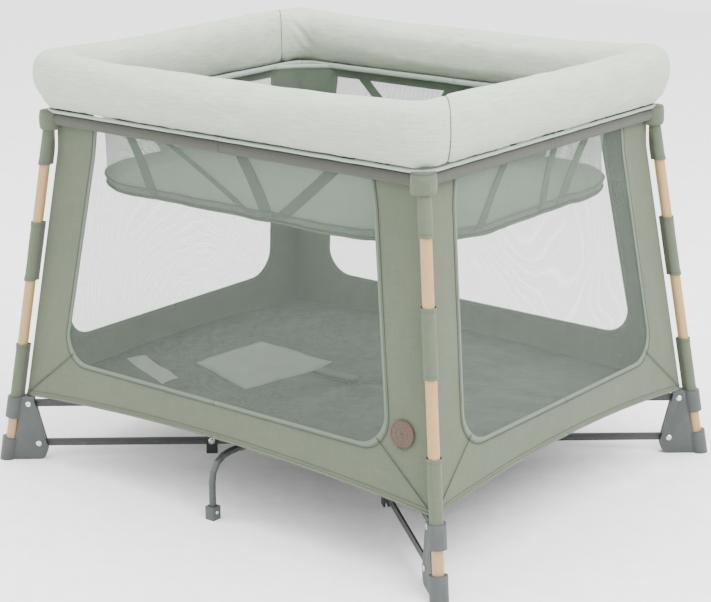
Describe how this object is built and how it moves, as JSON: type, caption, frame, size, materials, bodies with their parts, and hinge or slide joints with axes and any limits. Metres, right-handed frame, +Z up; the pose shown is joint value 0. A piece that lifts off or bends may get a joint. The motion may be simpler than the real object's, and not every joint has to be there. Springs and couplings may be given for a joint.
{
  "type": "travel play yard",
  "caption": "Folding play yard: leaning wood-look legs, mesh-windowed fabric walls, padded rim, hanging bassinet and a centre-pull folding base.",
  "frame": {"origin": "on the ground under the middle of the hub", "axes": "+X along the long side, -Y towards the front long side, +Z up"},
  "size_m": [1.1048, 0.9132, 0.8252],
  "materials": {
    "beech_tube": "satin beech-look tube",
    "grey_plastic": "matt moulded grey",
    "arm_steel": "grey powder coat",
    "rivet_steel": "plated rivet",
    "black_plastic": "black moulding",
    "rail_tube": "plain drawn tube under fabric",
    "support_tube_grey": "grey powder coat",
    "sage_fabric": "woven polyester, sage",
    "rim_fabric": "melange woven polyester, pale grey-sage",
    "floor_fabric": "woven polyester, dark sage",
    "bassinet_fabric": "knitted mesh and woven polyester",
    "strap_webbing": "flat woven webbing",
    "badge_leather": "embossed brown leather, no marks"
  },
  "bodies": {
    "front_right_leg": {"leg_tube_front_right": "beech_tube", "foot_bracket_front_right": "grey_plastic", "lower_rivet_front_right": "rivet_steel", "upper_rivet_front_right": "rivet_steel", "corner_cap_front_right": "grey_plastic", "wall_front": "sage_fabric", "wall_right": "sage_fabric", "wall_back": "sage_fabric", "wall_left": "sage_fabric", "rim_pad_front": "rim_fabric", "rim_pad_right": "rim_fabric", "rim_pad_back": "rim_fabric", "rim_pad_left": "rim_fabric", "floor_sheet": "floor_fabric", "badge": "badge_leather"},
    "front_right_lower_arm": {"lower_link_front_right": "arm_steel"},
    "hub": {"hub_body": "grey_plastic", "hub_cover": "grey_plastic"},
    "plunger": {"release_plunger": "black_plastic", "pull_strap": "strap_webbing"},
    "front_right_upper_arm": {"upper_link_front_right": "arm_steel"},
    "front_right_knuckle": {"link_knuckle_front_right": "black_plastic"},
    "front_right_long_rail": {"long_rail_front_right": "rail_tube"},
    "front_right_short_rail": {"short_rail_front_right": "rail_tube"},
    "front_left_lower_arm": {"lower_link_front_left": "arm_steel"},
    "front_left_leg": {"leg_tube_front_left": "beech_tube", "foot_bracket_front_left": "grey_plastic", "lower_rivet_front_left": "rivet_steel", "upper_rivet_front_left": "rivet_steel", "corner_cap_front_left": "grey_plastic"},
    "front_left_upper_arm": {"upper_link_front_left": "arm_steel"},
    "front_left_knuckle": {"link_knuckle_front_left": "black_plastic"},
    "front_left_long_rail": {"long_rail_front_left": "rail_tube"},
    "front_left_short_rail": {"short_rail_front_left": "rail_tube"},
    "back_right_lower_arm": {"lower_link_back_right": "arm_steel"},
    "back_right_leg": {"leg_tube_back_right": "beech_tube", "foot_bracket_back_right": "grey_plastic", "lower_rivet_back_right": "rivet_steel", "upper_rivet_back_right": "rivet_steel", "corner_cap_back_right": "grey_plastic"},
    "back_right_upper_arm": {"upper_link_back_right": "arm_steel"},
    "back_right_knuckle": {"link_knuckle_back_right": "black_plastic"},
    "back_right_long_rail": {"long_rail_back_right": "rail_tube"},
    "back_right_short_rail": {"short_rail_back_right": "rail_tube"},
    "back_left_lower_arm": {"lower_link_back_left": "arm_steel"},
    "back_left_leg": {"leg_tube_back_left": "beech_tube", "foot_bracket_back_left": "grey_plastic", "lower_rivet_back_left": "rivet_steel", "upper_rivet_back_left": "rivet_steel", "corner_cap_back_left": "grey_plastic"},
    "back_left_upper_arm": {"upper_link_back_left": "arm_steel"},
    "back_left_knuckle": {"link_knuckle_back_left": "black_plastic"},
    "back_left_long_rail": {"long_rail_back_left": "rail_tube"},
    "back_left_short_rail": {"short_rail_back_left": "rail_tube"},
    "front_support": {"support_tube_front": "support_tube_grey", "tube_foot_front": "grey_plastic"},
    "back_support": {"support_tube_back": "support_tube_grey", "tube_foot_back": "grey_plastic"},
    "bassinet": {"bassinet": "bassinet_fabric"}
  },
  "joints": [
    {"name": "fold", "type": "hinge", "parent": "front_right_leg", "child": "front_right_lower_arm", "pos_m": [0.4861, -0.39919, 0.033], "axis": [0.6346, 0.7728, 0], "range_deg": [0, 76], "deforming": ["wall_front", "wall_right", "wall_back", "wall_left", "rim_pad_front", "rim_pad_right", "rim_pad_back", "rim_pad_left", "floor_sheet", "bassinet"]},
    {"name": "hub_level", "type": "hinge", "parent": "front_right_lower_arm", "child": "hub", "pos_m": [0.06693, -0.05496, 0.033], "axis": [0.6346, 0.7728, 0], "range_deg": [-76, 0]},
    {"name": "front_right_upper_arm_hinge", "type": "hinge", "parent": "hub", "child": "front_right_upper_arm", "pos_m": [0.08007, -0.06575, 0.116], "axis": [0.6346, 0.7728, 0], "range_deg": [0, 76]},
    {"name": "front_right_knuckle_hinge", "type": "hinge", "parent": "front_right_lower_arm", "child": "front_right_knuckle", "pos_m": [0.22025, -0.18087, 0.033], "axis": [0.6346, 0.7728, 0], "range_deg": [-76, 0]},
    {"name": "front_right_long_rail_hinge", "type": "hinge", "parent": "front_right_leg", "child": "front_right_long_rail", "pos_m": [0.42508, -0.36322, 0.699], "axis": [0, -1, 0], "range_deg": [0, 76]},
    {"name": "front_right_short_rail_hinge", "type": "hinge", "parent": "front_right_leg", "child": "front_right_short_rail", "pos_m": [0.44231, -0.34622, 0.699], "axis": [-1, 0, 0], "range_deg": [0, 76]},
    {"name": "front_left_lower_arm_hinge", "type": "hinge", "parent": "hub", "child": "front_left_lower_arm", "pos_m": [-0.06693, -0.05496, 0.033], "axis": [0.6346, -0.7728, 0], "range_deg": [0, 76]},
    {"name": "front_left_leg_hinge", "type": "hinge", "parent": "front_left_lower_arm", "child": "front_left_leg", "pos_m": [-0.4861, -0.39919, 0.033], "axis": [0.6346, -0.7728, 0], "range_deg": [-76, 0]},
    {"name": "front_left_upper_arm_hinge", "type": "hinge", "parent": "hub", "child": "front_left_upper_arm", "pos_m": [-0.08007, -0.06575, 0.116], "axis": [0.6346, -0.7728, 0], "range_deg": [0, 76]},
    {"name": "front_left_knuckle_hinge", "type": "hinge", "parent": "front_left_lower_arm", "child": "front_left_knuckle", "pos_m": [-0.22025, -0.18087, 0.033], "axis": [0.6346, -0.7728, 0], "range_deg": [-76, 0]},
    {"name": "front_left_long_rail_hinge", "type": "hinge", "parent": "front_left_leg", "child": "front_left_long_rail", "pos_m": [-0.42508, -0.36322, 0.699], "axis": [0, 1, 0], "range_deg": [0, 76]},
    {"name": "front_left_short_rail_hinge", "type": "hinge", "parent": "front_left_leg", "child": "front_left_short_rail", "pos_m": [-0.44231, -0.34622, 0.699], "axis": [-1, 0, 0], "range_deg": [0, 76]},
    {"name": "back_right_lower_arm_hinge", "type": "hinge", "parent": "hub", "child": "back_right_lower_arm", "pos_m": [0.06693, 0.05496, 0.033], "axis": [-0.6346, 0.7728, 0], "range_deg": [0, 76]},
    {"name": "back_right_leg_hinge", "type": "hinge", "parent": "back_right_lower_arm", "child": "back_right_leg", "pos_m": [0.4861, 0.39919, 0.033], "axis": [-0.6346, 0.7728, 0], "range_deg": [-76, 0]},
    {"name": "back_right_upper_arm_hinge", "type": "hinge", "parent": "hub", "child": "back_right_upper_arm", "pos_m": [0.08007, 0.06575, 0.116], "axis": [-0.6346, 0.7728, 0], "range_deg": [0, 76]},
    {"name": "back_right_knuckle_hinge", "type": "hinge", "parent": "back_right_lower_arm", "child": "back_right_knuckle", "pos_m": [0.22025, 0.18087, 0.033], "axis": [-0.6346, 0.7728, 0], "range_deg": [-76, 0]},
    {"name": "back_right_long_rail_hinge", "type": "hinge", "parent": "back_right_leg", "child": "back_right_long_rail", "pos_m": [0.42508, 0.36322, 0.699], "axis": [0, -1, 0], "range_deg": [0, 76]},
    {"name": "back_right_short_rail_hinge", "type": "hinge", "parent": "back_right_leg", "child": "back_right_short_rail", "pos_m": [0.44231, 0.34622, 0.699], "axis": [1, 0, 0], "range_deg": [0, 76]},
    {"name": "back_left_lower_arm_hinge", "type": "hinge", "parent": "hub", "child": "back_left_lower_arm", "pos_m": [-0.06693, 0.05496, 0.033], "axis": [-0.6346, -0.7728, 0], "range_deg": [0, 76]},
    {"name": "back_left_leg_hinge", "type": "hinge", "parent": "back_left_lower_arm", "child": "back_left_leg", "pos_m": [-0.4861, 0.39919, 0.033], "axis": [-0.6346, -0.7728, 0], "range_deg": [-76, 0]},
    {"name": "back_left_upper_arm_hinge", "type": "hinge", "parent": "hub", "child": "back_left_upper_arm", "pos_m": [-0.08007, 0.06575, 0.116], "axis": [-0.6346, -0.7728, 0], "range_deg": [0, 76]},
    {"name": "back_left_knuckle_hinge", "type": "hinge", "parent": "back_left_lower_arm", "child": "back_left_knuckle", "pos_m": [-0.22025, 0.18087, 0.033], "axis": [-0.6346, -0.7728, 0], "range_deg": [-76, 0]},
    {"name": "back_left_long_rail_hinge", "type": "hinge", "parent": "back_left_leg", "child": "back_left_long_rail", "pos_m": [-0.42508, 0.36322, 0.699], "axis": [0, 1, 0], "range_deg": [0, 76]},
    {"name": "back_left_short_rail_hinge", "type": "hinge", "parent": "back_left_leg", "child": "back_left_short_rail", "pos_m": [-0.44231, 0.34622, 0.699], "axis": [1, 0, 0], "range_deg": [0, 76]},
    {"name": "front_support_hinge", "type": "hinge", "parent": "hub", "child": "front_support", "pos_m": [0, -0.078, 0.118], "axis": [1, 0, 0], "range_deg": [0, 80.01]},
    {"name": "back_support_hinge", "type": "hinge", "parent": "hub", "child": "back_support", "pos_m": [0, 0.078, 0.118], "axis": [-1, 0, 0], "range_deg": [0, 80.01]},
    {"name": "bassinet_lift", "type": "slide", "parent": "hub", "child": "bassinet", "axis": [0, 0, 1], "range_m": [-0.243, 0]},
    {"name": "release_pull", "type": "slide", "parent": "hub", "child": "plunger", "axis": [0, 0, 1], "range_m": [0, 0.01], "stiffness_N_per_m": 500, "springref_m": -0.004}
  ],
  "couplings": [
    {"joint": "hub_level", "follows": "fold", "ratio": -1},
    {"joint": "front_right_upper_arm_hinge", "follows": "fold", "ratio": 1},
    {"joint": "front_right_knuckle_hinge", "follows": "fold", "ratio": -1},
    {"joint": "front_right_long_rail_hinge", "follows": "fold", "ratio": 1},
    {"joint": "front_right_short_rail_hinge", "follows": "fold", "ratio": 1},
    {"joint": "front_left_lower_arm_hinge", "follows": "fold", "ratio": 1},
    {"joint": "front_left_leg_hinge", "follows": "fold", "ratio": -1},
    {"joint": "front_left_upper_arm_hinge", "follows": "fold", "ratio": 1},
    {"joint": "front_left_knuckle_hinge", "follows": "fold", "ratio": -1},
    {"joint": "front_left_long_rail_hinge", "follows": "fold", "ratio": 1},
    {"joint": "front_left_short_rail_hinge", "follows": "fold", "ratio": 1},
    {"joint": "back_right_lower_arm_hinge", "follows": "fold", "ratio": 1},
    {"joint": "back_right_leg_hinge", "follows": "fold", "ratio": -1},
    {"joint": "back_right_upper_arm_hinge", "follows": "fold", "ratio": 1},
    {"joint": "back_right_knuckle_hinge", "follows": "fold", "ratio": -1},
    {"joint": "back_right_long_rail_hinge", "follows": "fold", "ratio": 1},
    {"joint": "back_right_short_rail_hinge", "follows": "fold", "ratio": 1},
    {"joint": "back_left_lower_arm_hinge", "follows": "fold", "ratio": 1},
    {"joint": "back_left_leg_hinge", "follows": "fold", "ratio": -1},
    {"joint": "back_left_upper_arm_hinge", "follows": "fold", "ratio": 1},
    {"joint": "back_left_knuckle_hinge", "follows": "fold", "ratio": -1},
    {"joint": "back_left_long_rail_hinge", "follows": "fold", "ratio": 1},
    {"joint": "back_left_short_rail_hinge", "follows": "fold", "ratio": 1},
    {"joint": "front_support_hinge", "follows": "fold", "ratio": 1.0526},
    {"joint": "back_support_hinge", "follows": "fold", "ratio": 1.0526},
    {"joint": "bassinet_lift", "follows": "fold", "m_per_rad": -0.18244}
  ]
}
